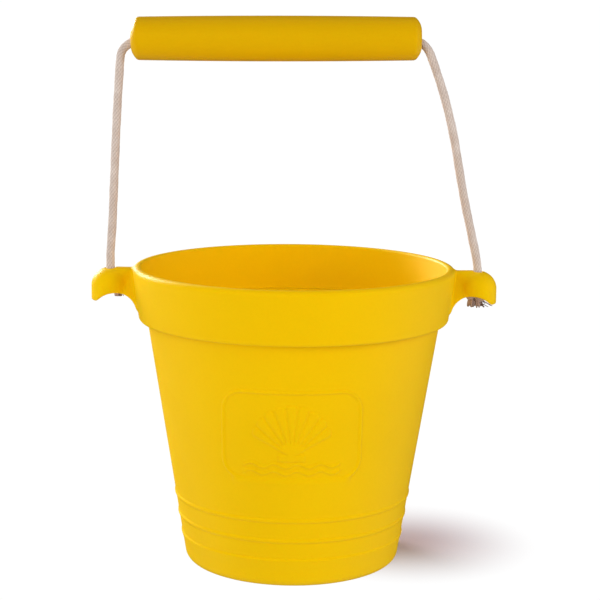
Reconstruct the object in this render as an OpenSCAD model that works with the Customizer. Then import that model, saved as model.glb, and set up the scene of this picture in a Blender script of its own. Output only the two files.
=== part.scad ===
// Sand bucket: a soft tapered bucket with two hooded ears, and a rope bail with a tube grip.
// Millimetres. +Z is up, +X runs from ear to ear, and the origin is the middle of the foot.

/* [Bucket] */
// Height of the rim above the ground
bucket_h = 134.5; // [126:0.5:140]
// Outer diameter of the body where its straight taper meets the ground
base_d = 96.4; // [86:0.2:104]
// Outer diameter of the body just under the collar
body_d = 131.6; // [124:0.2:134]
// Thickness of the body's wall
wall = 3; // [2.4:0.1:4]
// Thickness of the floor at its middle
floor_t = 3.5; // [2.5:0.1:5]
// Rounding of the outer edge of the base
base_round = 4; // [1:0.5:6]

/* [Collar] */
// Outer diameter of the rim
rim_d = 145; // [142:0.5:146]
// Outer diameter of the collar's lower edge
collar_d = 139; // [136:0.5:142]
// Height of the collar
collar_h = 24; // [20:0.5:28]
// Thickness of the collar's wall
collar_wall = 3.9; // [3:0.1:4.5]
// Height from the collar's lower edge to the step inside
ledge_up = 3; // [1:0.5:6]

/* [Ribs] */
// Number of raised rings around the foot of the body
rib_count = 3; // [0:1:4]
// Height of the lowest ring above the ground
rib_first = 12.4; // [8:0.2:14]
// Distance from one ring to the next
rib_pitch = 9.4; // [6:0.2:12]
// How far a ring stands out
rib_out = 0.45; // [0.4:0.05:1]
// Height of a ring where it meets the body
rib_w = 2; // [1:0.1:2.2]

/* [Ears] */
// Distance from the bucket's axis to each rope hole
ear_x = 82.5; // [82:0.1:84]
// Radius of the ear seen from above
ear_r = 8.6; // [8.4:0.1:9.2]
// Rounding of the top of the ear
ear_round = 8; // [4:0.5:8]
// Height of the top of the ear
ear_top = 132.8; // [132.8:0.2:133.2]
// Height of the lower edge of the skirt
ear_foot = 118.4; // [116:0.2:118.6]
// Radius of the hollow that hides the knot
hood_r = 6.5; // [6.4:0.1:7]
// Diameter of the rope hole
hole_d = 4.6; // [4.4:0.1:5.4]
// Radius of the arch cut across the skirt
arch_r = 10.2; // [9:0.1:11]
// Width of the web beside the ear, at its top
web_top_w = 8; // [6:0.5:10]
// Width of the web beside the ear, at its foot
web_foot_w = 18; // [14:0.5:20]

/* [Grip] */
// Length of the grip from tip to tip
grip_l = 127.2; // [126:0.2:128]
// Diameter of the grip in the middle
grip_mid_d = 19.9; // [19:0.1:24]
// Diameter of the grip at its shoulders
grip_end_d = 18.9; // [17:0.1:19]
// How far the coned end stands out past the shoulder
grip_cone = 2.5; // [1:0.1:3]
// Diameter of the bore along the grip
bore_d = 7; // [6.8:0.1:8]
// Diameter of the bore's flared mouth
mouth_d = 9.4; // [9:0.1:12]
// Depth of the flare
mouth_l = 4; // [3:0.5:8]
// Where the middle of the grip stands, left or right of the bucket's axis
grip_x = -8.8; // [-9:0.1:-8.6]
// Height of the middle of the grip
grip_z = 235.1; // [235:0.05:235.2]
// How far the grip leans, with its right end higher, in degrees
grip_tilt = 0.5; // [0.3:0.1:0.7]

/* [Rope] */
// Diameter of the rope
rope_d = 3.8; // [3:0.1:3.8]
// Diameter of the stopper knots
knot_d = 10.6; // [9:0.2:10.8]
// Height at which the stopper knots jam under the roof of the ears
knot_top = 127.6; // [127:0.1:127.8]
// Height of the left knot
left_knot_h = 6.6; // [6.2:0.2:8.8]
// Height of the right knot
right_knot_h = 8.2; // [6.2:0.2:8.8]
// Length of the frayed end below the left knot
left_fray_l = 1.6; // [1:0.1:3]
// Length of the frayed end below the right knot
right_fray_l = 3; // [1:0.1:3]

/* [Hidden] */
$fn = 96;
// Steps in a rounded corner of an outline
CORNER_STEPS = 6;
// Overlap that joins solids for certain
JOIN = 1;

collar_z = bucket_h - collar_h;
ledge_z = collar_z + ledge_up;
lip_out = 2.4;
lip_in = 1.4;
// A shallow recess leaves a foot ring to stand on
foot_inset = 12;
foot_recess = 0.8;
ear_roof = 4;
hood_z = ear_top - ear_roof - hood_r;
arch_x = ear_x - 2.5;
arch_z = 111.9;
web_z = 115.5;
web_top = ear_top - 0.3;

// The rope's middle line above the ears, from the left ear over to the right ear
ROUTE = [
    [-82.5, 0, 133], [-82.5, 0, 138.5], [-82, 0, 146], [-81.5, 0, 153],
    [-81, 0, 163], [-80.5, 0, 173.5], [-80, 0, 184], [-79.5, 0, 194], [-79, 0, 203],
    [-78.5, 0, 211], [-78, 0, 218], [-77.5, 0, 225], [-77, 0, 228], [-75.5, 0, 230.5],
    [-73, 0, 232.5], [-70.5, 0, 233.5], [-66, 0, 233.5],
    [-43, 0, 233.7], [-20, 0, 233.9], [3, 0, 234.1], [26, 0, 234.3], [49, 0, 234.5],
    [52.5, 0, 234.5], [55.5, 0, 233.5], [57.5, 0, 231.5], [59, 0, 229], [60, 0, 226.5],
    [61.5, 0, 222.5], [65, 0, 212.5], [68, 0, 202], [70.5, 0, 191.5], [72.5, 0, 181],
    [74.5, 0, 170.5], [76.5, 0, 161], [78.5, 0, 152.5],
    [80, 0, 146], [81.5, 0, 139.5], [82.5, 0, 133]
];
ROUTE_END = len(ROUTE) - 1;
// The points of the route where one stretch of rope hands over to the next
LEFT_LEG_START = 3;
GRIP_IN = 16;
GRIP_OUT = 21;
RIGHT_LEG_END = 34;
ROPE_SIDES = 8;

function unit(v) = v / norm(v);

// An arc of radius r that takes the corner b off the path a, b, c
function corner(a, b, c, r) =
    r == 0 ? [b] :
    let (
        to_a = unit(a - b),
        to_c = unit(c - b),
        half = acos(to_a * to_c) / 2,
        centre = b + unit(to_a + to_c) * r / sin(half),
        first = b + to_a * r / tan(half) - centre,
        last = b + to_c * r / tan(half) - centre,
        start = atan2(first.y, first.x),
        turn = atan2(first.x * last.y - first.y * last.x, first * last)
    )
    [for (i = [0 : CORNER_STEPS]) centre + r * [cos(start + turn * i / CORNER_STEPS),
                                                sin(start + turn * i / CORNER_STEPS)]];

// An outline from corners given as [x, y, radius]
function rounded(corners) = [
    for (i = [0 : len(corners) - 1])
        let (
            before = corners[(i + len(corners) - 1) % len(corners)],
            here = corners[i],
            after = corners[(i + 1) % len(corners)]
        )
        each corner([before.x, before.y], [here.x, here.y], [after.x, after.y], here.z)
];

// Outer radius of the body's straight taper at height z
function body_r(z) = (base_d + (body_d - base_d) * z / collar_z) / 2;

// Outer radius of the collar's taper at height z
function collar_r(z) = (collar_d + (rim_d - collar_d) * (z - collar_z) / collar_h) / 2;

// Height and radius of the grip's barrel at a place from -1, one shoulder, to 1, the other
function barrel(t) = [
    (grip_mid_d - (grip_mid_d - grip_end_d) * t * t) / 2,
    t * (grip_l / 2 - grip_cone)
];

// Half outline of one flared mouth, from the tip inwards
function mouth(side, steps = 8) = [
    for (i = [0 : steps])
        let (t = i / steps)
        [bore_d / 2 + (mouth_d - bore_d) / 2 * (1 - t) * (1 - t),
         side * (grip_l / 2 - mouth_l * t)]
];

function reversed(list) = [for (i = [len(list) - 1 : -1 : 0]) list[i]];

// The way the route runs at point i, which is straight up or down at an ear
function heading(i) =
    i == 0 ? [0, 0, 1] :
    i == ROUTE_END ? [0, 0, -1] :
    unit(ROUTE[i + 1] - ROUTE[i - 1]);

// One ring of the rope around point i of the route, which lies in the plane y = 0
function ring(i) =
    let (side = [0, 1, 0], across = cross(heading(i), side))
    [for (k = [0 : ROPE_SIDES - 1])
        let (turn = 360 * (k + 0.5) / ROPE_SIDES)
        ROUTE[i] + rope_d / 2 * (cos(turn) * side + sin(turn) * across)];

// The stretch of rope from point first to point last of the route
module rope(first, last) {
    rings = last - first;
    points = [for (i = [first : last]) each ring(i)];
    start_cap = [for (k = [ROPE_SIDES - 1 : -1 : 0]) k];
    end_cap = [for (k = [0 : ROPE_SIDES - 1]) rings * ROPE_SIDES + k];
    sides = [
        for (i = [0 : rings - 1], k = [0 : ROPE_SIDES - 1])
            let (
                here = i * ROPE_SIDES,
                next = here + ROPE_SIDES,
                beside = (k + 1) % ROPE_SIDES
            )
            [here + k, here + beside, next + beside, next + k]
    ];
    color("linen")
    polyhedron(points, concat([start_cap], sides, [end_cap]), convexity = 4);
}

module bucket() {
    foot_r = base_d / 2 - foot_inset;
    body_in = body_r(ledge_z) - wall;
    floor_in = body_r(floor_t) - wall;
    color("gold")
    union() {
        rotate_extrude()
            polygon(rounded([
                [0, foot_recess, 0],
                [foot_r, foot_recess, 0.5],
                [foot_r + 1, 0, 0.4],
                [base_d / 2, 0, base_round],
                [body_d / 2, collar_z, 0.5],
                [collar_d / 2, collar_z, 1.6],
                [rim_d / 2, bucket_h, lip_out],
                [rim_d / 2 - collar_wall, bucket_h, lip_in],
                [collar_r(ledge_z) - collar_wall, ledge_z, 0.6],
                [body_in, ledge_z, 1],
                [floor_in, floor_t, 5],
                [0, floor_t, 0]
            ]));
        for (i = [0 : 1 : rib_count - 1])
            rib(rib_first + i * rib_pitch);
        for (side = [0, 180])
            rotate([0, 0, side])
                ear();
    }
}

// A raised ring around the body: the outer part of a round bead sunk in the wall
module rib(z) {
    bead_r = (rib_w * rib_w / 4 + rib_out * rib_out) / (2 * rib_out);
    rotate_extrude()
        translate([body_r(z) + rib_out - bead_r, z])
            circle(bead_r);
}

// The ear on the +X side, with its web, hood, arch and rope hole
module ear() {
    root_x = rim_d / 2 - 12;
    difference() {
        union() {
            translate([ear_x, 0, 0])
                rotate_extrude()
                    polygon(rounded([
                        [0, ear_foot, 0], [ear_r, ear_foot, 0.6],
                        [ear_r, ear_top, ear_round], [0, ear_top, 0]
                    ]));
            translate([root_x, 0, 0])
                rotate([90, 0, 90])
                    linear_extrude(ear_x - root_x)
                        polygon([
                            [-web_foot_w / 2, web_z], [web_foot_w / 2, web_z],
                            [web_top_w / 2, web_top], [-web_top_w / 2, web_top]
                        ]);
        }
        // The hood, which opens downwards
        translate([ear_x, 0, hood_z])
            sphere(hood_r);
        translate([ear_x, 0, web_z - JOIN])
            cylinder(h = hood_z - web_z + JOIN, r = hood_r);
        translate([ear_x, 0, web_z])
            cylinder(h = ear_top - web_z + JOIN, d = hole_d);
        translate([arch_x, ear_r + JOIN, arch_z])
            rotate([90, 0, 0])
                cylinder(h = 2 * (ear_r + JOIN), r = arch_r);
        // The inside of the collar
        translate([0, 0, web_z - JOIN])
            cylinder(h = ear_top - web_z + 2 * JOIN, r1 = collar_r(web_z) - collar_wall / 2,
                     r2 = collar_r(ear_top) - collar_wall / 2);
    }
}

module grip() {
    steps = 12;
    lip_flat = 0.5;
    shoulder_round = 1.2;
    side = [for (i = [1 : steps - 1]) barrel(2 * i / steps - 1)];
    shoulder = barrel(1);
    tip = [mouth_d / 2 + lip_flat, grip_l / 2];
    low_end = corner([tip.x, -tip.y], [shoulder.x, -shoulder.y], side[0], shoulder_round);
    high_end = corner(side[steps - 2], shoulder, tip, shoulder_round);
    color("goldenrod")
    translate([grip_x, 0, grip_z])
        rotate([0, 90 - grip_tilt, 0])
            rotate_extrude()
                polygon(concat(
                    [[tip.x, -tip.y]], low_end, side, high_end, [tip],
                    mouth(1), reversed(mouth(-1))
                ));
}

// The stretch of rope inside an ear's hole
module rope_in_ear(side) {
    color("linen")
    translate([side * ear_x, 0, knot_top])
        cylinder(h = ROUTE[0].z - knot_top, d = rope_d);
}

// A stopper knot, as a barrel with rounded ends
module rope_knot(side, height) {
    color("wheat")
    translate([side * ear_x, 0, knot_top - height])
        rotate_extrude()
            polygon(rounded([
                [0, 0, 0], [knot_d / 2, 0, 3], [knot_d / 2, height, 3], [0, height, 0]
            ]));
}

// The frayed end of the rope, which spreads out below its knot
module rope_fray(side, knot_h, length) {
    color("tan")
    translate([side * ear_x, 0, knot_top - knot_h - length])
        cylinder(h = length, r1 = rope_d / 2 + 1, r2 = rope_d / 2);
}

bucket();
grip();
rope(GRIP_IN, GRIP_OUT);  // rope_in_grip
rope(LEFT_LEG_START, GRIP_IN);  // rope_leg_left
rope(GRIP_OUT, RIGHT_LEG_END);  // rope_leg_right
rope(0, LEFT_LEG_START);  // rope_bend_left
rope(RIGHT_LEG_END, ROUTE_END);  // rope_bend_right
rope_in_ear(-1);  // rope_in_ear_left
rope_in_ear(1);  // rope_in_ear_right
rope_knot(-1, left_knot_h);  // rope_knot_left
rope_knot(1, right_knot_h);  // rope_knot_right
rope_fray(-1, left_knot_h, left_fray_l);  // rope_fray_left
rope_fray(1, right_knot_h, right_fray_l);  // rope_fray_right
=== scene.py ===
"""A silicone sand bucket with a cotton rope bail and a tube grip, in metres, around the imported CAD."""

import math
import random

import bpy
import numpy as np
from mathutils import Matrix, Vector


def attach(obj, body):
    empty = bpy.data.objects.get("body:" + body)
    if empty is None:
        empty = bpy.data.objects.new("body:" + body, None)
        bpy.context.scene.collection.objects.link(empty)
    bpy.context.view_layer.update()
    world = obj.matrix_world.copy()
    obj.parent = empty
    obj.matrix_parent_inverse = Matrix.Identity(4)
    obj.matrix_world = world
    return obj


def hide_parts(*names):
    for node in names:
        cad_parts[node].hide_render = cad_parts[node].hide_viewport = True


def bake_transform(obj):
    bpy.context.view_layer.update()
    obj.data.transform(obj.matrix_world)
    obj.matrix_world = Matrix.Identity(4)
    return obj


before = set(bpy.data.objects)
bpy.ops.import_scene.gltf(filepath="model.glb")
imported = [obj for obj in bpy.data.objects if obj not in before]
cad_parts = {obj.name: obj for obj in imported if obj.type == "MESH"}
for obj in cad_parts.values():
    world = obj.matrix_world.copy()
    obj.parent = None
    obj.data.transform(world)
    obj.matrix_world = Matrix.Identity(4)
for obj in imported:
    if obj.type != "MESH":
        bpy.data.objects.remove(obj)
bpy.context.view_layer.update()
MM = 0.001
ALL_ROUND = 2 * math.pi


# ---------------------------------------------------------------- camera

def add_camera():
    data = bpy.data.cameras.new("camera")
    data.sensor_width = 36
    data.lens = 102.33
    camera = bpy.data.objects.new("camera", data)
    bpy.context.scene.collection.objects.link(camera)
    heading, pitch, roll = 0.0019, -0.1694, 0.0102
    camera.matrix_world = (
        Matrix.Translation((0.0042271, -0.7578122, 0.2483087))
        @ Matrix.Rotation(heading, 4, "Z")
        @ Matrix.Rotation(math.pi / 2 + pitch, 4, "X")
        @ Matrix.Rotation(roll, 4, "Z")
    )
    bpy.context.scene.camera = camera


add_camera()


# ---------------------------------------------------------------- meshes

def add_mesh(name, points, faces, material):
    """A smooth-shaded mesh object from points in millimetres."""
    mesh = bpy.data.meshes.new(name)
    mesh.from_pydata([tuple(p) for p in np.asarray(points, float) * MM], [], faces)
    mesh.update()
    mesh.polygons.foreach_set("use_smooth", [True] * len(mesh.polygons))
    obj = bpy.data.objects.new(name, mesh)
    bpy.context.scene.collection.objects.link(obj)
    mesh.materials.append(material)
    return obj


def set_point_value(obj, name, values):
    """A number on every point of a mesh, for its material."""
    layer = obj.data.attributes.new(name, "FLOAT", "POINT")
    layer.data.foreach_set("value", np.asarray(values, np.float32))


def normalised(v):
    return v / np.linalg.norm(v, axis=-1, keepdims=True)


# ---------------------------------------------------------------- rope

ROPE_D = 3.8
ROPE_STEP = 0.28
ROPE_SIDES = 32
EAR_X = 82.5
EAR_EXIT_Z = 133
# The rope's route in the plane y = 0, as the CAD has it
ROUTE = [
    (-82.5, 133), (-82.5, 138.5), (-82, 146), (-81.5, 153),
    (-81, 163), (-80.5, 173.5), (-80, 184), (-79.5, 194), (-79, 203),
    (-78.5, 211), (-78, 218), (-77.5, 225), (-77, 228), (-75.5, 230.5),
    (-73, 232.5), (-70.5, 233.5), (-66, 233.5),
    (-43, 233.7), (-20, 233.9), (3, 234.1), (26, 234.3), (49, 234.5),
    (52.5, 234.5), (55.5, 233.5), (57.5, 231.5), (59, 229), (60, 226.5),
    (61.5, 222.5), (65, 212.5), (68, 202), (70.5, 191.5), (72.5, 181),
    (74.5, 170.5), (76.5, 161), (78.5, 152.5),
    (80, 146), (81.5, 139.5), (82.5, 133),
]
LEFT_LEG_START = 3
RIGHT_LEG_END = 34
KNOT_CORE_Z = 122.5
KNOT_TOP = 127.6
LEFT_KNOT_H, RIGHT_KNOT_H = 6.6, 8.2


def curve_through(points, step):
    """A smooth line through points, with a point about every step, and where along it each point is."""
    points = np.asarray(points, float)
    ahead = np.vstack([points[1:], 2 * points[-1] - points[-2]])
    behind = np.vstack([2 * points[0] - points[1], points[:-1]])
    gaps = np.linalg.norm(np.diff(points, axis=0), axis=1)
    knots = np.concatenate([[0], np.cumsum(gaps)])
    slope = (ahead - behind) / np.linalg.norm(ahead - behind, axis=1, keepdims=True)
    count = max(2, int(round(knots[-1] / step)))
    at = np.linspace(0, knots[-1], count + 1)
    i = np.clip(np.searchsorted(knots, at, side="right") - 1, 0, len(gaps) - 1)
    span = gaps[i][:, None]
    t = ((at - knots[i]) / gaps[i])[:, None]
    h00 = (1 + 2 * t) * (1 - t) ** 2
    h10 = t * (1 - t) ** 2
    h01 = t * t * (3 - 2 * t)
    h11 = t * t * (t - 1)
    return h00 * points[i] + h10 * span * slope[i] + h01 * points[i + 1] + h11 * span * slope[i + 1], at


def line_axes(line, start_side=(0, 1, 0)):
    """Two directions across a line at each of its points, carried along it without twist."""
    along = normalised(np.gradient(line, axis=0))
    side = np.zeros_like(line)
    last = np.asarray(start_side, float)
    for i, direction in enumerate(along):
        last = last - direction * (last @ direction)
        last = last / np.linalg.norm(last)
        side[i] = last
    return side, np.cross(along, side)


BRAID_PITCH = 16.0
BRAID_STRANDS = 8
BRAID_DEPTH = 0.12


def braid_height(turn, along):
    """How far a braided surface stands out, and a number for the strand that is on top there."""
    u = BRAID_STRANDS * turn / ALL_ROUND
    v = BRAID_STRANDS * along / BRAID_PITCH
    first, second = u + v, u - v
    bump_a = np.abs(np.cos(math.pi * first))
    bump_b = np.abs(np.cos(math.pi * second))
    over = np.cos(math.pi * (first + second)) * np.cos(math.pi * (first - second))
    mix = 1 / (1 + np.exp(-6 * over))
    height = mix * bump_a + (1 - mix) * bump_b
    return height, mix


def rope_mesh(name, line, at, material):
    """A braided rope along line. at is how far along the whole rope each point lies."""
    side, across = line_axes(line)
    turns = (np.arange(ROPE_SIDES) + 0.5) * ALL_ROUND / ROPE_SIDES
    turn, along = np.meshgrid(turns, at)
    height, mix = braid_height(turn, along)
    slow = 0.04 * np.sin(along * 0.37 + 1.3) + 0.03 * np.sin(along * 0.91 + turn)
    radius = ROPE_D / 2 + slow + BRAID_DEPTH * (height - 0.85)
    rings = (
        line[:, None, :]
        + (radius * np.cos(turn))[:, :, None] * side[:, None, :]
        + (radius * np.sin(turn))[:, :, None] * across[:, None, :]
    )
    points = rings.reshape(-1, 3)
    faces = []
    for i in range(len(line) - 1):
        for k in range(ROPE_SIDES):
            a, b = i * ROPE_SIDES + k, i * ROPE_SIDES + (k + 1) % ROPE_SIDES
            faces.append((a, b, b + ROPE_SIDES, a + ROPE_SIDES))
    faces.append(tuple(range(ROPE_SIDES))[::-1])
    last = (len(line) - 1) * ROPE_SIDES
    faces.append(tuple(range(last, last + ROPE_SIDES)))
    obj = add_mesh(name, points, faces, material)
    # strand_height also sets the cotton's painted shade in the braid's crevices.
    set_point_value(obj, "strand_height", height.reshape(-1))
    set_point_value(obj, "strand_mix", mix.reshape(-1))
    return obj


def route_3d(first, last):
    return np.array([(x, 0, z) for x, z in ROUTE[first:last + 1]], float)


# ---------------------------------------------------------------- materials

def new_material(name, colour, roughness, specular=0.5):
    material = bpy.data.materials.new(name)
    material.use_nodes = True
    shader = material.node_tree.nodes["Principled BSDF"]
    shader.inputs["Base Color"].default_value = (*colour, 1)
    shader.inputs["Roughness"].default_value = roughness
    shader.inputs["Specular IOR Level"].default_value = specular
    return material, material.node_tree, shader


def add_node(tree, kind, **values):
    node = tree.nodes.new(kind)
    for name, value in values.items():
        setattr(node, name, value)
    return node


def noise(tree, scale, detail=3, roughness=0.5, stretch=None):
    """A noise value in the object's own space."""
    coordinates = add_node(tree, "ShaderNodeTexCoord")
    texture = add_node(tree, "ShaderNodeTexNoise")
    texture.inputs["Scale"].default_value = scale
    texture.inputs["Detail"].default_value = detail
    texture.inputs["Roughness"].default_value = roughness
    if stretch:
        mapping = add_node(tree, "ShaderNodeMapping")
        mapping.inputs["Scale"].default_value = stretch
        tree.links.new(coordinates.outputs["Object"], mapping.inputs["Vector"])
        tree.links.new(mapping.outputs["Vector"], texture.inputs["Vector"])
    else:
        tree.links.new(coordinates.outputs["Object"], texture.inputs["Vector"])
    return texture.outputs["Fac"]


def ramp(tree, value, stops):
    """Colours along a value, from (position, colour) stops."""
    node = add_node(tree, "ShaderNodeValToRGB")
    elements = node.color_ramp.elements
    while len(elements) < len(stops):
        elements.new(0.5)
    for element, (position, colour) in zip(elements, stops):
        element.position = position
        element.color = (*colour, 1)
    tree.links.new(value, node.inputs["Fac"])
    return node.outputs["Color"]


def multiply(tree, first, second, share=1.0):
    node = add_node(tree, "ShaderNodeMix", data_type="RGBA", blend_type="MULTIPLY")
    node.inputs["Factor"].default_value = share
    tree.links.new(first, node.inputs["A"])
    tree.links.new(second, node.inputs["B"])
    return node.outputs["Result"]


def add_bump(tree, shader, value, distance, strength=1.0):
    node = add_node(tree, "ShaderNodeBump")
    node.inputs["Distance"].default_value = distance
    node.inputs["Strength"].default_value = strength
    tree.links.new(value, node.inputs["Height"])
    before = shader.inputs["Normal"]
    if before.is_linked:
        tree.links.new(before.links[0].from_socket, node.inputs["Normal"])
    tree.links.new(node.outputs["Normal"], before)


def grey(value):
    return (value, value, value)


def silicone(name, colour, roughness):
    """Matte silicone: faint cloudiness in its colour, a fine satin grain and soft mould waviness."""
    material, tree, shader = new_material(name, colour, roughness, 0.3)
    shader.inputs["Specular Tint"].default_value = (1, 0.75, 0.05, 1)
    shader.inputs["Subsurface Weight"].default_value = 0.12
    shader.inputs["Subsurface Radius"].default_value = (1.0, 0.45, 0.05)
    shader.inputs["Subsurface Scale"].default_value = 0.0025
    cloud = ramp(tree, noise(tree, 22, 4), [(0.3, tuple(0.965 * c for c in colour)), (0.7, colour)])
    speckle = ramp(tree, noise(tree, 900, 2), [(0.35, grey(0.985)), (0.6, grey(1.0))])
    tree.links.new(multiply(tree, cloud, speckle), shader.inputs["Base Color"])
    rough = ramp(tree, noise(tree, 60, 4), [(0.3, grey(roughness - 0.05)), (0.7, grey(roughness + 0.06))])
    tree.links.new(rough, shader.inputs["Roughness"])
    add_bump(tree, shader, noise(tree, 45, 2), 0.0003, 0.35)
    add_bump(tree, shader, noise(tree, 2600, 3), 0.00002, 0.5)
    return material


def cotton(name, colour, painted_shade_colour):
    """Undyed cotton: painted shade where its strand_height value is low, in the braid's crevices, with fine
    fibres along it.
    """
    material, tree, shader = new_material(name, colour, 0.9, 0.15)
    shader.inputs["Sheen Weight"].default_value = 0.35
    shader.inputs["Sheen Roughness"].default_value = 0.4
    height = add_node(tree, "ShaderNodeAttribute", attribute_name="strand_height")
    # Painted shade: the ramp runs to the deeper colour where strand_height is low, between the braid's
    # crossings.
    strand_painted_shade = ramp(tree, height.outputs["Fac"], [(0.25, painted_shade_colour), (0.85, colour)])
    patches = ramp(tree, noise(tree, 160, 4), [(0.3, (0.84, 0.8, 0.77)), (0.7, grey(1.0))])
    fibres = ramp(tree, noise(tree, 3200, 4, 0.7, (1, 1, 0.35)), [(0.3, grey(0.8)), (0.7, grey(1.04))])
    mixed = multiply(tree, multiply(tree, strand_painted_shade, patches), fibres)
    tree.links.new(mixed, shader.inputs["Base Color"])
    add_bump(tree, shader, noise(tree, 3200, 4, 0.7, (1, 1, 0.35)), 0.0001, 0.8)
    return material


BUCKET_SILICONE = silicone("bucket_silicone", (0.945, 0.572, 0.001), 0.46)
# The grip's silicone is a darker copy of the bucket's.
GRIP_SILICONE = silicone("grip_silicone", (0.77, 0.43, 0.001), 0.42)
ROPE_COTTON = cotton("rope_cotton", (0.8, 0.69, 0.62), (0.62, 0.5, 0.43))
# The knots' cotton is a darker copy of the rope's.
KNOTTED_COTTON = cotton("knotted_cotton", (0.7, 0.52, 0.45), (0.42, 0.31, 0.26))
# Frayed cotton with a very deep shade colour: painted shade for the yarn ends under the ear's hood.
FRAYED_COTTON = cotton("frayed_cotton", (0.85, 0.64, 0.56), (0.22, 0.14, 0.1))


# ---------------------------------------------------------------- rope pieces

def build_rope():
    whole, at = curve_through(route_3d(0, len(ROUTE) - 1), ROPE_STEP)
    first_cut = np.argmin(np.linalg.norm(whole - route_3d(LEFT_LEG_START, LEFT_LEG_START), axis=1))
    second_cut = np.argmin(np.linalg.norm(whole - route_3d(RIGHT_LEG_END, RIGHT_LEG_END), axis=1))
    core = int(round((EAR_EXIT_Z - KNOT_CORE_Z) / ROPE_STEP))
    down = np.arange(core, 0, -1)[:, None] * ROPE_STEP
    below_left = whole[0] - down * (0, 0, 1)
    below_right = whole[-1] - down[::-1] * (0, 0, 1)
    line = np.vstack([below_left, whole, below_right])
    along = np.concatenate([at[0] - down[:, 0], at, at[-1] + down[::-1, 0]])
    cuts = [0, core + first_cut, core + second_cut, len(line) - 1]
    names = ("rope_lower_left", "rope_upper", "rope_lower_right")
    made = []
    for name, first, last in zip(names, cuts[:-1], cuts[1:]):
        stretch = slice(first, last + 1)
        obj = rope_mesh(name, line[stretch], along[stretch], ROPE_COTTON)
        made.append((obj, line[stretch]))
    return made


def knot_line(height):
    """The middle line of an overhand knot around the z axis, from its standing part down to its tail."""
    ring_r, wave_r, gap = 2.75, 1.45, 0.42
    wave_z = height / 2 - ROPE_D / 2
    centre_z = KNOT_TOP - height / 2
    t = np.linspace(gap, ALL_ROUND - gap, 40)
    reach = ring_r + wave_r * np.cos(3 * t)
    loop = np.stack([reach * np.cos(2 * t), reach * np.sin(2 * t), centre_z + wave_z * np.sin(3 * t)], 1)
    top = [(0, 0, KNOT_TOP + 2.7), (0.3, 0.2, KNOT_TOP + 0.6), (2.2, 1.4, KNOT_TOP - 0.9)]
    low = KNOT_TOP - height
    tail = [(3.0, -2.2, low + 2.8), (1.6, -1.6, low + 2.3), (0.6, -0.8, low + 2.0)]
    return np.vstack([top, loop, tail])


def build_knot(side, name, height):
    line, at = curve_through(knot_line(height) * (side, side, 1) + (side * EAR_X, 0, 0), 0.4)
    return rope_mesh(name, line, at, KNOTTED_COTTON)


def tube(points, radii, sides):
    """The points and faces of a thin tube along a line."""
    side, across = line_axes(points, (0.3, 1, 0.2))
    turns = np.arange(sides) * ALL_ROUND / sides
    rings = points[:, None, :] + radii[:, None, None] * (
        np.cos(turns)[None, :, None] * side[:, None, :] + np.sin(turns)[None, :, None] * across[:, None, :]
    )
    faces = []
    for i in range(len(points) - 1):
        for k in range(sides):
            a, b = i * sides + k, i * sides + (k + 1) % sides
            faces.append((a, b, b + sides, a + sides))
    faces.append(tuple(range(sides))[::-1])
    last = (len(points) - 1) * sides
    faces.append(tuple(range(last, last + sides)))
    return rings.reshape(-1, 3), faces


ROOT_IN = 1.6
YARNS = 46
YARN_SIDES = 5


def build_fray(name, seed, middle_x, root_z, length, spread, strays, stray_reach):
    """A cut rope end below its knot: a brush of yarns, and stray fibres that lean out towards +X."""
    rng = random.Random(seed)
    points, faces, heights = [], [], []
    for i in range(YARNS + strays):
        yarn = i < YARNS
        turn = rng.uniform(0, ALL_ROUND)
        out = math.sqrt(rng.uniform(0, 1)) * spread
        around = np.array([math.cos(turn), math.sin(turn), 0])
        root = np.array([middle_x, 0, root_z + ROOT_IN]) + around * out * 0.75
        # Each yarn's value picks its colour between frayed_cotton's own and its painted shade: random for
        # yarns, low for stray fibres.
        if yarn:
            drift = rng.uniform(-0.3, 0.3)
            reach = around * out * 0.35 + (drift, 0, -ROOT_IN - length * rng.uniform(0.75, 1.0))
            radius = rng.uniform(0.4, 0.55)
            shade = rng.uniform(0.6, 1.0)
        else:
            lean = rng.uniform(0.2, 1.0) * stray_reach
            reach = np.array([lean, rng.uniform(-1.5, 1.5), -ROOT_IN - length * rng.uniform(0.5, 1.0)])
            radius = rng.uniform(0.16, 0.3)
            shade = rng.uniform(0.1, 0.4)
        bend = np.array([rng.uniform(-1, 1), rng.uniform(-1, 1), rng.uniform(-0.3, 0.3)]) * 0.5
        t = np.linspace(0, 1, 9)[:, None]
        line = root + reach * t + bend * np.sin(t * math.pi) * t
        radii = radius * (1 - 0.4 * t[:, 0] ** 2)
        new_points, new_faces = tube(line, radii, YARN_SIDES)
        faces += [tuple(v + len(points) for v in f) for f in new_faces]
        points += list(new_points)
        # The value falls towards each tip, so the tips are darker.
        heights += list(np.repeat(shade * (1 - 0.5 * t[:, 0] ** 4), YARN_SIDES))
    obj = add_mesh(name, points, faces, FRAYED_COTTON)
    set_point_value(obj, "strand_height", heights)
    return obj


(rope_lower_left, line_left), (rope_upper, line_upper), (rope_lower_right, line_right) = build_rope()
knot_left = build_knot(-1, "knot_left", LEFT_KNOT_H)
knot_right = build_knot(1, "knot_right", RIGHT_KNOT_H)
fray_left = build_fray("frayed_end_left", 3, 3.4 - EAR_X, KNOT_TOP - LEFT_KNOT_H, 1.3, 1.6, 9, 1.6)
fray_right = build_fray("frayed_end_right", 11, EAR_X - 1.0, KNOT_TOP - RIGHT_KNOT_H, 2.9, 3.3, 13, 8.0)

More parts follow.
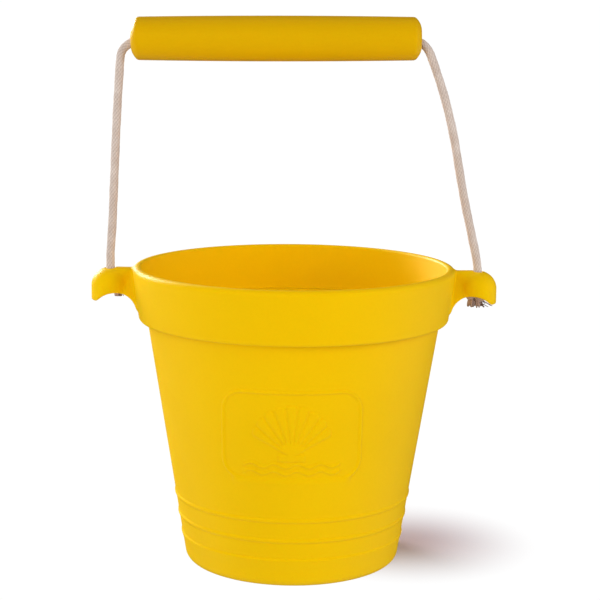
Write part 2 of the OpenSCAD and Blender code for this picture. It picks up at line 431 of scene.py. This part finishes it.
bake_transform(rope_lower_left)
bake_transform(rope_lower_right)
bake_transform(rope_upper)
for piece in (knot_left, knot_right, fray_left, fray_right):
    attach(piece, "bucket")
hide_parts("rope_in_ear_left", "rope_bend_left")
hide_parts("rope_in_ear_right", "rope_bend_right")
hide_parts("rope_leg_left", "rope_in_grip", "rope_leg_right")
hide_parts("rope_knot_left")
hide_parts("rope_knot_right")
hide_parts("rope_fray_left")
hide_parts("rope_fray_right")


# ---------------------------------------------------------------- bucket

BUCKET_H = 134.5
BASE_R = 48.2
BODY_R = 65.8
WALL = 3.0
FLOOR_T = 3.5
RIM_R = 72.5
COLLAR_R = 69.5
COLLAR_Z = 110.5
COLLAR_WALL = 3.9
LEDGE_Z = 113.5
RIB_Z = (12.4, 21.8, 31.2)
RIB_OUT = 0.45
EMBLEM_Z = 70.0
EMBLEM_HALF_W, EMBLEM_HALF_H = 30.5, 20.5
FRONT = math.radians(270)


def body_r(z):
    return BASE_R + (BODY_R - BASE_R) * z / COLLAR_Z


def collar_r(z):
    return COLLAR_R + (RIM_R - COLLAR_R) * (z - COLLAR_Z) / (BUCKET_H - COLLAR_Z)


def smoothstep(a, b, x):
    t = np.clip((x - a) / (b - a), 0, 1)
    return t * t * (3 - 2 * t)


def arc_corner(a, b, c, radius, step):
    """Points of the arc that rounds corner b of the path a, b, c."""
    a, b, c = (np.asarray(p, float) for p in (a, b, c))
    to_a, to_c = normalised(a - b), normalised(c - b)
    half = math.acos(float(to_a @ to_c)) / 2
    centre = b + normalised(to_a + to_c) * radius / math.sin(half)
    first = b + to_a * radius / math.tan(half) - centre
    last = b + to_c * radius / math.tan(half) - centre
    start = math.atan2(first[1], first[0])
    turn = math.atan2(first[0] * last[1] - first[1] * last[0], float(first @ last))
    count = max(3, int(math.ceil(abs(turn) * radius / step)))
    angles = start + turn * np.linspace(0, 1, count + 1)
    return centre + radius * np.stack([np.cos(angles), np.sin(angles)], 1)


def wall_step(r, z):
    """How far apart the rows of the bucket's mesh are, which is less where it has relief."""
    outside = r > body_r(z) - 1 and z < COLLAR_Z - 1
    if outside and any(abs(z - rib) < 1.7 for rib in RIB_Z):
        return 0.26
    if outside and abs(z - EMBLEM_Z) < EMBLEM_HALF_H + 1.5:
        return 0.39
    return 3.0 if outside or z > COLLAR_Z - 6 else 8.0


def bucket_profile():
    """The bucket's section as (r, z) rows: from the middle of its underside, up and over, to its floor."""
    ledge_in = body_r(LEDGE_Z) - WALL
    corners = [
        (0, 0.8, 0, 1), (36.2, 0.8, 0.5, 0.2), (37.2, 0, 0.4, 0.2), (BASE_R, 0, 4, 0.5),
        (BODY_R, COLLAR_Z, 0.5, 0.2), (COLLAR_R, COLLAR_Z, 1.6, 0.35),
        (RIM_R, BUCKET_H, 2.3, 0.3), (RIM_R - COLLAR_WALL, BUCKET_H, 1.3, 0.25),
        (collar_r(LEDGE_Z) - COLLAR_WALL, LEDGE_Z, 0.6, 0.25), (ledge_in, LEDGE_Z, 1, 0.3),
        (body_r(FLOOR_T) - WALL, FLOOR_T, 5, 0.6), (0, FLOOR_T, 0, 1),
    ]
    rows = [np.array([corners[0][:2]])]
    for before, here, after in zip(corners, corners[1:], corners[2:]):
        rows.append(arc_corner(before[:2], here[:2], after[:2], here[2], here[3]))
    rows.append(np.array([corners[-1][:2]]))
    points = [rows[0][0]]
    for run in rows[1:]:
        start, end = points[-1], run[0]
        gap = end - start
        length = float(np.linalg.norm(gap))
        done = 0.0
        while length - done > 0:
            here = start + gap * done / length
            step = wall_step(*here)
            if length - done < 1.5 * step:
                break
            done += step
            points.append(start + gap * done / length)
        points += list(run)
    return np.array(points)


def line_relief(distance, half_width, soft=0.28):
    return 1 - smoothstep(half_width - soft, half_width + soft, np.abs(distance))


def emblem(u, v):
    """Height of the relief on the front, from 0 to 1: a scallop shell over two waves, in a plain frame."""
    corner = 9.0
    qx = np.abs(u) - (EMBLEM_HALF_W - corner)
    qy = np.abs(v) - (EMBLEM_HALF_H - 0.8 - corner)
    outside = np.hypot(np.maximum(qx, 0), np.maximum(qy, 0)) + np.minimum(np.maximum(qx, qy), 0) - corner
    height = line_relief(outside, 0.6)
    hinge_v, shell_r, lobes, fan = -9.0, 23.0, 9, math.radians(62)
    reach = np.hypot(u, v - hinge_v)
    angle = np.arctan2(u, v - hinge_v)
    lobe = (angle / fan + 1) * lobes / 2
    groove = np.abs(lobe - np.round(lobe)) * 2 * fan / lobes * reach
    bulge = np.sqrt(np.abs(np.sin(lobe * math.pi)))
    edge = shell_r * (1 - 0.16 * (angle / fan) ** 2) + 1.5 * (bulge - 1)
    side = (fan - np.abs(angle)) * reach
    shell = smoothstep(-0.3, 0.3, edge - reach) * smoothstep(-0.3, 0.3, side)
    shell *= 1 - 0.75 * (1 - smoothstep(0.25, 0.8, groove)) * smoothstep(5, 7, reach)
    foot = (1 - smoothstep(5.4, 6.0, np.abs(u))) * line_relief(v - hinge_v + 0.6, 1.5)
    height = np.maximum(height, np.maximum(shell, foot))
    for level in (-13.0, -16.2):
        crest = level + 0.9 * np.sin(u * ALL_ROUND / 10)
        line = line_relief(v - crest, 0.5) * (1 - smoothstep(20.5, 21.5, np.abs(u)))
        height = np.maximum(height, line)
    return height


FINE_HALF = math.radians(32.5)
PLAIN_STEP = math.radians(2.5)
FINE_STEP = PLAIN_STEP / 6
WINDOW_HALF = math.radians(12.5)
EMBLEM_OUT = 0.5


def bucket_turns():
    """The angles of the bucket mesh's columns, closer together across the emblem."""
    turns = []
    turn = 0.0
    while turn < ALL_ROUND - 1e-6:
        turns.append(turn)
        fine = FRONT - FINE_HALF - 1e-6 <= turn < FRONT + FINE_HALF - 1e-6
        turn += FINE_STEP if fine else PLAIN_STEP
    return np.array(turns)


def bucket_grid(profile, turns):
    """The points of the turned bucket, with its ribs and its emblem, row by row."""
    r, z = profile[:, 0][:, None], profile[:, 1][:, None]
    turn = turns[None, :]
    outer = (r > body_r(z) - 1) & (z < COLLAR_Z - 1) & (z > 4)
    out = np.zeros(np.broadcast(r, turn).shape)
    for rib in RIB_Z:
        out += RIB_OUT * np.exp(-(((z - rib) / 0.85) ** 4))
    around = (turn - FRONT) * r
    out += EMBLEM_OUT * emblem(around, z - EMBLEM_Z + 0 * around)
    out *= outer
    reach = r + out
    return np.stack([reach * np.cos(turn), reach * np.sin(turn), z + 0 * reach], -1)


# ---------------------------------------------------------------- ears, as a smooth implicit surface

EAR_R = 8.6
EAR_ROUND = 8.0
EAR_TOP = 132.8
EAR_FOOT = 118.2
HOOD_R = 6.5
HOOD_Z = 122.3
HOLE_R = 2.25
ARCH_X, ARCH_Z, ARCH_R = 80.0, 111.9, 10.2
WEB_TOP_HALF, WEB_FOOT_HALF, WEB_FOOT_Z = 2.2, 9.0, 115.5
SPINE_X, SPINE_R = 72.0, 1.2
CELL = 0.46
PATCH_LOW, PATCH_HIGH = np.array([63.5, -16.2, 111.6]), np.array([92.4, 16.2, 135.6])
PATCH_GAP = 0.9
WINDOW_LOW_Z = 112.8
WINDOW_IN_Z = 129.5


def soft_min(a, b, k):
    h = np.maximum(k - np.abs(a - b), 0) / k
    return np.minimum(a, b) - h * h * k / 4


def soft_max(a, b, k):
    return -soft_min(-a, -b, k)


class Collar:
    """The collar's section, as distances to it and places along it."""

    def __init__(self, profile):
        self.profile = profile
        self.s = np.concatenate([[0], np.cumsum(np.linalg.norm(np.diff(profile, axis=0), axis=1))])
        top = int(np.argmax(profile[:, 1]))
        near = np.flatnonzero(profile[:, 1] > COLLAR_Z - 3)
        self.first, self.last = near[0], near[-1]
        self.top = top

    def measure(self, r, z):
        """Signed distance to the section, negative inside, and how far along it the nearest place is."""
        best = np.full(r.shape, 1e9)
        where = np.zeros(r.shape)
        for i in range(self.first, self.last):
            (ra, za), (rb, zb) = self.profile[i], self.profile[i + 1]
            dr, dz = rb - ra, zb - za
            span = dr * dr + dz * dz
            t = np.clip(((r - ra) * dr + (z - za) * dz) / span, 0, 1)
            d = np.hypot(r - ra - t * dr, z - za - t * dz)
            closer = d < best
            best = np.where(closer, d, best)
            where = np.where(closer, self.s[i] + t * math.sqrt(span), where)
        outer = self.profile[self.first:self.top + 1]
        inner = self.profile[self.top:self.last + 1][::-1]
        keep = np.concatenate([[True], np.diff(outer[:, 1]) > 1e-9])
        r_out = np.interp(z, outer[keep, 1], outer[keep, 0])
        keep = np.concatenate([[True], np.diff(inner[:, 1]) > 1e-9])
        r_in = np.interp(z, inner[keep, 1], inner[keep, 0])
        inside = (r < r_out) & (r > r_in) & (z < BUCKET_H)
        return np.where(inside, -best, best), where


def spine_distance(x, y, z):
    """The distance to the ear's back, a round cone that widens from the collar's lip to the dome."""
    start = np.array([SPINE_X, EAR_TOP - SPINE_R])
    axis = np.array([EAR_X, EAR_TOP - EAR_ROUND]) - start
    length = float(np.linalg.norm(axis))
    growth = (EAR_ROUND - SPINE_R) / length
    along = ((x - start[0]) * axis[0] + (z - start[1]) * axis[1]) / length
    across = np.sqrt(np.maximum((x - start[0]) ** 2 + y * y + (z - start[1]) ** 2 - along ** 2, 0))
    t = np.clip((along + across * growth / math.sqrt(1 - growth ** 2)) / length, 0, 1)
    middle_x, middle_z = start[0] + t * axis[0], start[1] + t * axis[1]
    return np.sqrt((x - middle_x) ** 2 + y * y + (z - middle_z) ** 2) - SPINE_R - t * growth * length


def ear_distance(collar, p):
    """About how far each point is from the wall with its ear on the +X side, negative inside."""
    x, y, z = p[..., 0], p[..., 1], p[..., 2]
    r = np.hypot(x, y)
    wall, where = collar.measure(r, z)
    ear_r = np.hypot(x - EAR_X, y)
    a = ear_r - (EAR_R - EAR_ROUND)
    b = z - (EAR_TOP - EAR_ROUND)
    dome = np.hypot(np.maximum(a, 0), np.maximum(b, 0)) + np.minimum(np.maximum(a, b), 0) - EAR_ROUND
    dome = soft_max(dome, EAR_FOOT - z, 0.9)
    dome = soft_min(dome, spine_distance(x, y, z), 0.4)
    slope = (WEB_FOOT_HALF - WEB_TOP_HALF) / (EAR_TOP - WEB_FOOT_Z)
    half = WEB_TOP_HALF + slope * (EAR_TOP - z)
    web = soft_max((np.abs(y) - half) / math.hypot(1, slope), z - EAR_TOP + 0.1, 1.6)
    web = soft_max(np.maximum(web, x - EAR_X), WEB_FOOT_Z - 0.6 - z, 0.8)
    ear = soft_min(dome, web, 1.0)
    arch = ARCH_R - np.hypot(x - ARCH_X, z - ARCH_Z)
    ear = soft_max(ear, arch, 1.0)
    hood_ball = HOOD_R - np.sqrt((x - EAR_X) ** 2 + y * y + (z - HOOD_Z) ** 2)
    hood_tube = np.where(z < HOOD_Z, HOOD_R - ear_r, hood_ball)
    ear = soft_max(ear, hood_tube, 0.8)
    ear = soft_max(ear, HOLE_R - ear_r, 0.7)
    middle = collar_r(z) - COLLAR_WALL / 2
    ear = np.maximum(ear, middle - r)
    return soft_min(wall, ear, 1.5), wall, where


def surface_nets(values, origin, cell):
    """The zero surface of a grid of values, as points and outward quads."""
    shape = np.array(values.shape) - 1
    total = np.zeros((*shape, 3))
    count = np.zeros(tuple(shape))
    inside = values < 0
    quads = []
    index = -np.ones(tuple(shape), int)
    crossings = []
    for axis in range(3):
        low = [slice(None)] * 3
        high = [slice(None)] * 3
        low[axis], high[axis] = slice(0, -1), slice(1, None)
        a, b = values[tuple(low)], values[tuple(high)]
        hit = np.argwhere(inside[tuple(low)] != inside[tuple(high)])
        va, vb = a[tuple(hit.T)], b[tuple(hit.T)]
        place = hit.astype(float)
        place[:, axis] += va / (va - vb)
        others = [o for o in range(3) if o != axis]
        for first in (0, 1):
            for second in (0, 1):
                at = hit.copy()
                at[:, others[0]] -= first
                at[:, others[1]] -= second
                good = np.all((at >= 0) & (at < shape), axis=1)
                np.add.at(total, tuple(at[good].T), place[good])
                np.add.at(count, tuple(at[good].T), 1)
        crossings.append((axis, others, hit, va < 0))
    used = count > 0
    index[used] = np.arange(int(used.sum()))
    points = total[used] / count[used][:, None] * cell + origin
    for axis, (o1, o2), hit, out_is_high in crossings:
        good = np.all((hit >= 1)[:, [o1, o2]], axis=1) & np.all((hit < shape)[:, [o1, o2]], axis=1)
        good &= hit[:, axis] < shape[axis]
        corners = []
        for first, second in ((0, 0), (1, 0), (1, 1), (0, 1)):
            at = hit[good].copy()
            at[:, o1] -= first
            at[:, o2] -= second
            corners.append(index[tuple(at.T)])
        faces = np.stack(corners, 1)
        flip = out_is_high[good] == (axis == 1)
        faces[flip] = faces[flip][:, ::-1]
        quads.append(faces)
    return points, np.vstack(quads)


def pull_onto(distance, points, rounds=3, nudge=0.02):
    """Moves points onto a distance function's zero surface."""
    for _ in range(rounds):
        value = distance(points)
        slope = np.zeros_like(points)
        for axis in range(3):
            step = np.zeros(3)
            step[axis] = nudge
            slope[:, axis] = (distance(points + step) - distance(points - step)) / (2 * nudge)
        size = np.maximum((slope ** 2).sum(1), 0.2)
        move = -slope * (value / size)[:, None]
        length = np.linalg.norm(move, axis=1)
        move *= np.minimum(1, 0.5 * CELL / np.maximum(length, 1e-9))[:, None]
        points = points + move
    return points


def border_loop(faces):
    """The longest loop of edges that have one face, in the order its faces run."""
    edges = {}
    for face in faces:
        for a, b in zip(face, np.roll(face, -1)):
            edges[(int(a), int(b))] = True
    after = {}
    for a, b in edges:
        if (b, a) not in edges:
            after[a] = b
    loops = []
    left = dict(after)
    while left:
        start, here = next(iter(left.items()))
        loop = [start]
        del left[start]
        while here != start and here in left:
            loop.append(here)
            here = left.pop(here)
        loops.append(loop)
    return max(loops, key=len)


def ear_patch(collar, low_s, high_s):
    """The ear on the +X side and the collar around it: points, quads, and the border with its places."""
    size = np.ceil((PATCH_HIGH - PATCH_LOW) / CELL).astype(int)
    axes = [PATCH_LOW[i] + CELL * np.arange(size[i] + 1) for i in range(3)]
    nodes = np.stack(np.meshgrid(*axes, indexing="ij"), -1)
    values, _, _ = ear_distance(collar, nodes)
    points, quads = surface_nets(values, PATCH_LOW, CELL)
    points = pull_onto(lambda p: ear_distance(collar, p)[0], points)
    _, wall, where = ear_distance(collar, points)
    r = np.hypot(points[:, 0], points[:, 1])
    sideways = np.arctan2(points[:, 1], points[:, 0])
    on_wall = np.abs(wall) < 0.05
    within = np.abs(sideways) * r < WINDOW_HALF * r - PATCH_GAP
    within &= (where > low_s + PATCH_GAP) & (where < high_s - PATCH_GAP)
    keep = ~on_wall | within
    quads = quads[np.all(keep[quads], axis=1)]
    loop = border_loop(quads)
    turn, s, near = sideways[loop], where[loop], PATCH_GAP + 1.05 * CELL
    straight = np.sign(turn) * (WINDOW_HALF - PATCH_GAP / r[loop])
    turn = np.where((WINDOW_HALF - np.abs(turn)) * r[loop] < near, straight, turn)
    s = np.where(s - low_s < near, low_s + PATCH_GAP, np.where(high_s - s < near, high_s - PATCH_GAP, s))
    loop_r, loop_z = (np.interp(s, collar.s, collar.profile[:, i]) for i in (0, 1))
    points[loop] = np.stack([loop_r * np.cos(turn), loop_r * np.sin(turn), loop_z], 1)
    used = np.unique(quads)
    renumber = -np.ones(len(points), int)
    renumber[used] = np.arange(len(used))
    return points[used], renumber[quads], [int(renumber[i]) for i in loop], np.stack([turn * COLLAR_R, s], 1)


def zip_loops(outer, outer_places, inner, inner_places):
    """Triangles between two loops that both run counter-clockwise, chosen to keep folds few."""
    start = int(np.argmin(np.linalg.norm(inner_places - outer_places[0], axis=1)))
    inner = inner[start:] + inner[:start + 1]
    inner_places = np.roll(inner_places, -start, axis=0)
    outer = outer + outer[:1]
    a, b = ([tuple(v) for v in places] for places in (outer_places, inner_places))
    a.append(a[0])
    b.append(b[0])

    def cost(p, q, other, edge):
        area = (q[0] - p[0]) * (other[1] - p[1]) - (q[1] - p[1]) * (other[0] - p[0])
        return math.dist(*edge) + (1000 * (0.01 - area) if area < 0.01 else 0)

    best = {(0, 0): (0.0, None)}
    for i in range(len(a)):
        for j in range(len(b)):
            ways = []
            if i:
                ways.append((best[i - 1, j][0] + cost(a[i - 1], a[i], b[j], (a[i], b[j])), (i - 1, j)))
            if j:
                ways.append((best[i, j - 1][0] + cost(a[i], b[j], b[j - 1], (a[i], b[j])), (i, j - 1)))
            if ways:
                best[i, j] = min(ways)
    faces = []
    i, j = len(a) - 1, len(b) - 1
    while (i, j) != (0, 0):
        before = best[i, j][1]
        third = inner[j] if before[0] < i else inner[j - 1]
        faces.append((outer[i - 1], outer[i], third) if before[0] < i else (outer[i], inner[j], third))
        i, j = before
    return faces


def build_bucket():
    profile = bucket_profile()
    turns = bucket_turns()
    rows, columns = len(profile), len(turns)
    grid = bucket_grid(profile, turns)
    collar = Collar(profile)
    points = list(grid[1:-1].reshape(-1, 3))
    bottom, floor = len(points), len(points) + 1
    points += [np.array([0, 0, profile[0, 1]]), np.array([0, 0, profile[-1, 1]])]

    def at(row, column):
        return (row - 1) * columns + column % columns

    outer_row = min(
        range(collar.top), key=lambda i: abs(profile[i, 1] - WINDOW_LOW_Z) + (profile[i, 0] < COLLAR_R)
    )
    inner_row = min(range(collar.top + 6, rows - 1), key=lambda i: abs(profile[i, 1] - WINDOW_IN_Z))
    low_s, high_s = collar.s[outer_row], collar.s[inner_row]
    half = int(round(WINDOW_HALF / PLAIN_STEP))
    middle_left = int(np.argmin(np.abs(turns - math.pi)))
    faces = []
    for column in range(columns):
        faces.append((bottom, at(1, column + 1), at(1, column)))
        faces.append((floor, at(rows - 2, column), at(rows - 2, column + 1)))
    for row in range(1, rows - 2):
        for column in range(columns):
            near_right = (column + half) % columns < 2 * half
            near_left = middle_left - half <= column < middle_left + half
            if outer_row <= row < inner_row and (near_right or near_left):
                continue
            faces.append((at(row, column), at(row, column + 1), at(row + 1, column + 1), at(row + 1, column)))
    window = [(outer_row, column) for column in range(-half, half)]
    window += [(row, half) for row in range(outer_row, inner_row)]
    window += [(inner_row, column) for column in range(half, -half, -1)]
    window += [(row, -half) for row in range(inner_row, outer_row, -1)]
    window_places = np.array([(column * PLAIN_STEP * COLLAR_R, collar.s[row]) for row, column in window])
    patch, quads, loop, loop_places = ear_patch(collar, low_s, high_s)
    for middle, flip in ((0, 1), (middle_left, -1)):
        base = len(points)
        points += list(patch * (flip, flip, 1))
        faces += [tuple(int(v) + base for v in q) for q in quads]
        border = [at(row, column + middle) for row, column in window]
        faces += zip_loops(border, window_places, [i + base for i in loop], loop_places)
    return add_mesh("bucket_moulding", points, faces, BUCKET_SILICONE)


bucket = build_bucket()
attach(bucket, "bucket")
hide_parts("bucket")


# ---------------------------------------------------------------- grip

GRIP_L = 127.2
GRIP_X, GRIP_Z, GRIP_TILT = -8.8, 235.1, math.radians(0.5)
GRIP_MID_R, GRIP_END_R = 9.95, 9.45
GRIP_DOME = 2.5
MOUTH_R, BORE_R, MOUTH_L = 4.7, 3.5, 4.0
GRIP_COLUMNS = 72


def build_grip():
    """The grip as a turned tube with domed ends and flared mouths."""
    half = GRIP_L / 2
    barrel_half = half - GRIP_DOME
    tip_r = MOUTH_R + 0.5
    dome_r = np.linspace(tip_r, GRIP_END_R - 0.8, 9)
    dome = [(r, half - GRIP_DOME * ((r - tip_r) / (GRIP_END_R - tip_r)) ** 1.6) for r in dome_r]
    shoulder = (GRIP_END_R, barrel_half)
    along = np.linspace(barrel_half - 1.0, 0, 26)
    side = [(GRIP_MID_R - (GRIP_MID_R - GRIP_END_R) * (x / barrel_half) ** 2, x) for x in along]
    rounding = []
    for t in np.linspace(0, 1, 7)[1:-1]:
        a, b, c = np.array(dome[-1]), np.array(shoulder), np.array(side[0])
        rounding.append(tuple((1 - t) ** 2 * a + 2 * t * (1 - t) * b + t * t * c))
    mouth = [
        (BORE_R + (MOUTH_R - BORE_R) * (1 - t) ** 2, half - MOUTH_L * t) for t in np.linspace(0, 1, 9)
    ]
    lip = [(tip_r - 0.12, half + 0.1), (MOUTH_R + 0.2, half + 0.12)]
    right = mouth[::-1] + lip[::-1] + dome + rounding + side
    left = [(r, -x) for r, x in right[::-1]][1:]
    outline = right + left
    points, faces = [], []
    tilt = np.array([math.cos(GRIP_TILT), 0, math.sin(GRIP_TILT)])
    up = np.array([-math.sin(GRIP_TILT), 0, math.cos(GRIP_TILT)])
    for r, x in outline:
        for k in range(GRIP_COLUMNS):
            turn = ALL_ROUND * k / GRIP_COLUMNS
            points.append(
                np.array([GRIP_X, 0, GRIP_Z]) + x * tilt
                + r * (math.cos(turn) * up + math.sin(turn) * np.array([0, 1, 0]))
            )
    rings = len(outline)
    for i in range(rings):
        for k in range(GRIP_COLUMNS):
            a, b = i * GRIP_COLUMNS + k, i * GRIP_COLUMNS + (k + 1) % GRIP_COLUMNS
            c, d = (i + 1) % rings * GRIP_COLUMNS + (k + 1) % GRIP_COLUMNS, (i + 1) % rings * GRIP_COLUMNS + k
            faces.append((a, b, c, d))
    return add_mesh("grip_tube", points, faces, GRIP_SILICONE)


grip = build_grip()
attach(grip, "grip")
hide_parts("grip")


# ---------------------------------------------------------------- floor and light

def camera_switch(tree, others, camera):
    """A value that is one number to the camera and another to every other ray."""
    path = add_node(tree, "ShaderNodeLightPath")
    switch = add_node(tree, "ShaderNodeMapRange")
    switch.inputs["To Min"].default_value = others
    switch.inputs["To Max"].default_value = camera
    tree.links.new(path.outputs["Is Camera Ray"], switch.inputs["Value"])
    return switch.outputs["Result"]


# The middle and reach of the floor's painted shadow pool.
SHADOW_MIDDLE = (0.054, 0.0195, 0)
SHADOW_REACH = 0.068
FLOOR_R = 6


def add_floor(bounce, seen):
    """A pale floor that takes the bucket's shadow and runs out into a white glow around it. Near
    SHADOW_MIDDLE the camera sees it darker and lilac, a painted shadow pool, and the glow's light on the
    bucket is painted bounce light from a floor that is no lamp.
    """
    material, tree, shader = new_material("floor", (0.9, 0.9, 0.9), 0.9, 0.05)
    coordinates = add_node(tree, "ShaderNodeTexCoord")
    distance = add_node(tree, "ShaderNodeVectorMath", operation="DISTANCE")
    distance.inputs[1].default_value = SHADOW_MIDDLE
    tree.links.new(coordinates.outputs["Object"], distance.inputs[0])
    # Painted shadow pool: matte near SHADOW_MIDDLE, white glow beyond SHADOW_REACH.
    shadow_pool_fade = add_node(tree, "ShaderNodeMapRange", interpolation_type="SMOOTHSTEP")
    shadow_pool_fade.inputs["From Min"].default_value = 0
    shadow_pool_fade.inputs["From Max"].default_value = SHADOW_REACH
    tree.links.new(distance.outputs["Value"], shadow_pool_fade.inputs["Value"])
    # Painted shadow: the camera sees the matte darker and lilac, other rays see it pale grey.
    painted_shadow_tint = add_node(tree, "ShaderNodeMix", data_type="RGBA")
    painted_shadow_tint.inputs["A"].default_value = (0.85, 0.85, 0.85, 1)
    painted_shadow_tint.inputs["B"].default_value = (0.525, 0.441, 0.504, 1)
    tree.links.new(camera_switch(tree, 0, 1), painted_shadow_tint.inputs["Factor"])
    matte = add_node(tree, "ShaderNodeBsdfDiffuse")
    tree.links.new(painted_shadow_tint.outputs["Result"], matte.inputs["Color"])
    # The glow lights the bucket at the bounce strength: painted bounce light.
    glow = add_node(tree, "ShaderNodeEmission")
    tree.links.new(camera_switch(tree, bounce, seen), glow.inputs["Strength"])
    mix = add_node(tree, "ShaderNodeMixShader")
    tree.links.new(shadow_pool_fade.outputs["Result"], mix.inputs["Fac"])
    tree.links.new(matte.outputs["BSDF"], mix.inputs[1])
    tree.links.new(glow.outputs["Emission"], mix.inputs[2])
    tree.links.new(mix.outputs["Shader"], tree.nodes["Material Output"].inputs["Surface"])
    tree.nodes.remove(shader)
    bpy.ops.mesh.primitive_circle_add(vertices=96, radius=FLOOR_R, fill_type="NGON", location=(0, 0, 0))
    floor = bpy.context.object
    floor.name = "floor"
    floor.data.materials.append(material)
    floor.visible_glossy = False


def add_area_light(name, place, target, size, power, glossy=False):
    """A round softbox, which shows in reflections only if it is glossy."""
    data = bpy.data.lights.new(name, "AREA")
    data.shape = "DISK"
    data.size = size
    data.energy = power
    light = bpy.data.objects.new(name, data)
    bpy.context.scene.collection.objects.link(light)
    light.location = place
    light.rotation_euler = (Vector(target) - Vector(place)).to_track_quat("-Z", "Y").to_euler()
    light.visible_glossy = glossy
    light.visible_camera = False


def set_world(light, seen):
    """A white room: how much light it gives, and how bright it looks."""
    world = bpy.data.worlds.new("world")
    world.use_nodes = True
    tree = world.node_tree
    background = tree.nodes["Background"]
    background.inputs["Color"].default_value = (1, 1, 1, 1)
    tree.links.new(camera_switch(tree, light, seen), background.inputs["Strength"])
    world.cycles_visibility.glossy = False
    bpy.context.scene.world = world


WHITE = 1.02
add_floor(0.76, WHITE)
set_world(0.325, WHITE)
MIDDLE = (0, 0, 0.1)
add_area_light("key", (-0.5, -1.1, 0.6), MIDDLE, 0.8, 3.6, glossy=True)
add_area_light("low_left", (-0.8, -0.7, 0.1), (0, 0, 0.15), 0.5, 2.3)
add_area_light("left", (-1.2, 0.2, 0.7), MIDDLE, 0.8, 5.2)
add_area_light("left_back", (-0.75, 0.95, 0.55), MIDDLE, 0.5, 15.5, glossy=True)
add_area_light("right", (1.0, -0.7, 0.6), MIDDLE, 0.8, 5.8)
add_area_light("right_back", (1.2, -0.1, 0.5), MIDDLE, 0.8, 1.9)
bpy.context.scene.view_settings.view_transform = "Standard"
bpy.context.scene.view_settings.look = "None"
